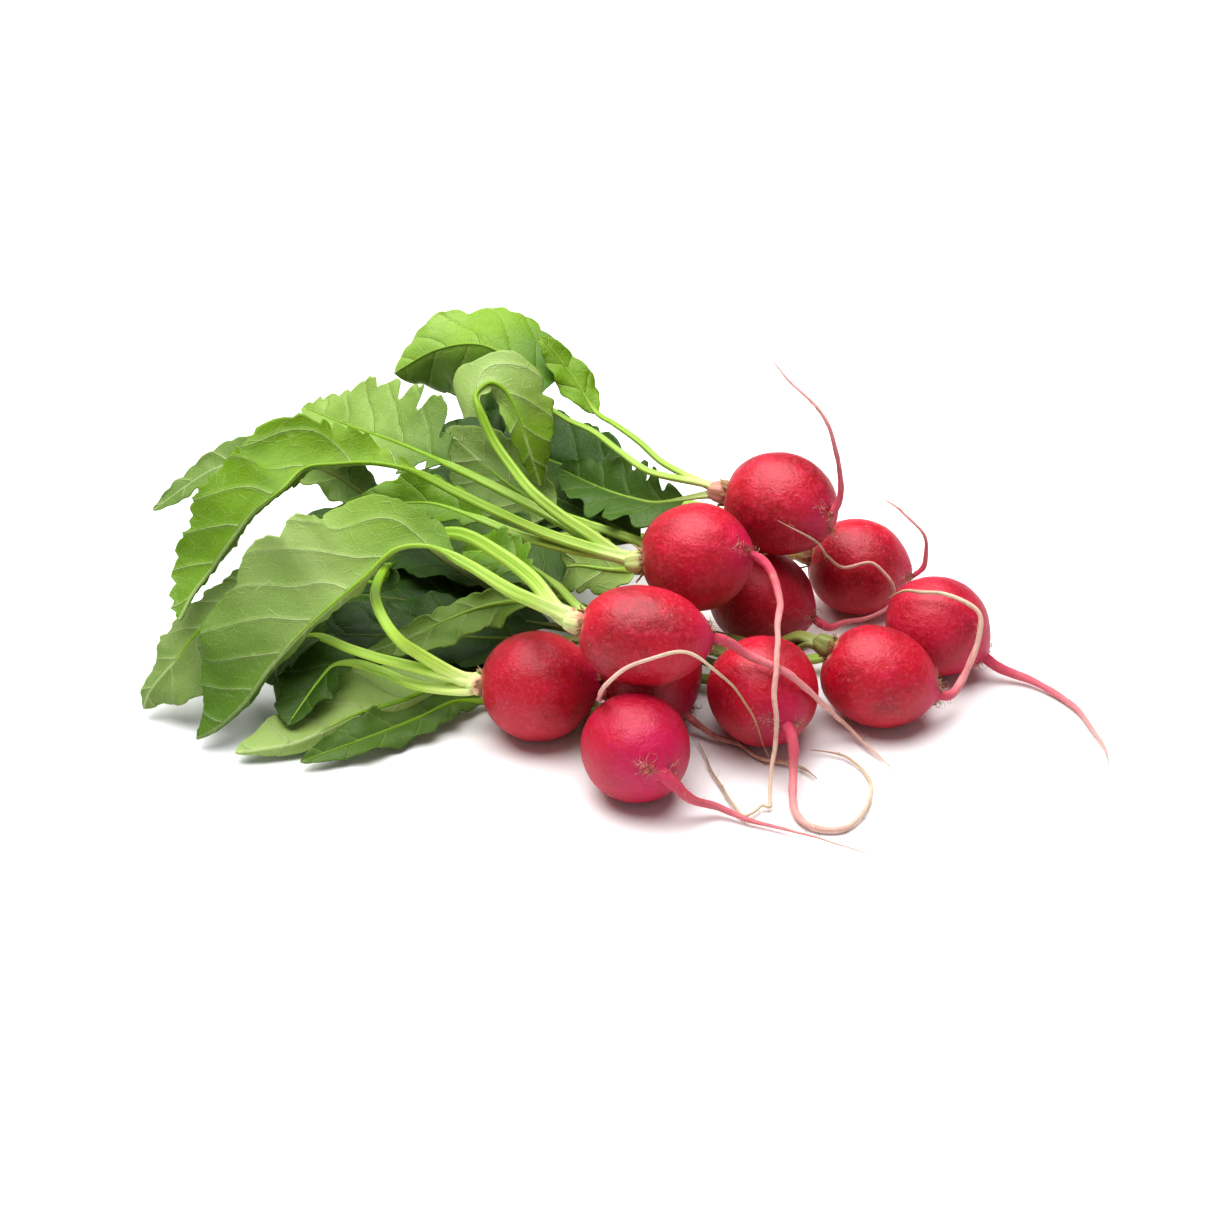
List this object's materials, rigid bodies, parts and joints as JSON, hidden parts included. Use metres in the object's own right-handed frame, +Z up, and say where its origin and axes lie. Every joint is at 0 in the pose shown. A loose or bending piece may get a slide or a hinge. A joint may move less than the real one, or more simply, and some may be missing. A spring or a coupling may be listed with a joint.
{
  "type": "bunch of radishes",
  "caption": "Bunch of round red radishes lying on its side, each globe with its thin taproot and its long-stalked green leaves.",
  "frame": {"origin": "on the table, under the middle of the bunch's bounding box", "axes": "+Z up from the table, +X towards the ends of the taproots, -X towards the leaf tips, -Y the side that the front globes are on"},
  "size_m": [0.2714, 0.191, 0.0854],
  "materials": {
    "radish_skin": "satin crimson skin, paler pink at the taproot, cream at its tip",
    "radish_leaf": "matte fresh green blade with pale veins and light green stalks"
  },
  "bodies": {
    "root": {"radish_1_root": "radish_skin", "radish_1_leaves": "radish_leaf", "radish_2_root": "radish_skin", "radish_2_leaves": "radish_leaf", "radish_3_root": "radish_skin", "radish_3_leaves": "radish_leaf", "radish_4_root": "radish_skin", "radish_4_leaves": "radish_leaf", "radish_5_root": "radish_skin", "radish_5_leaves": "radish_leaf", "radish_6_root": "radish_skin", "radish_6_leaves": "radish_leaf", "radish_7_root": "radish_skin", "radish_7_leaves": "radish_leaf", "radish_8_root": "radish_skin", "radish_8_leaves": "radish_leaf", "radish_9_root": "radish_skin", "radish_9_leaves": "radish_leaf", "radish_10_root": "radish_skin", "radish_10_leaves": "radish_leaf", "radish_11_root": "radish_skin", "radish_11_leaves": "radish_leaf"}
  },
  "joints": []
}
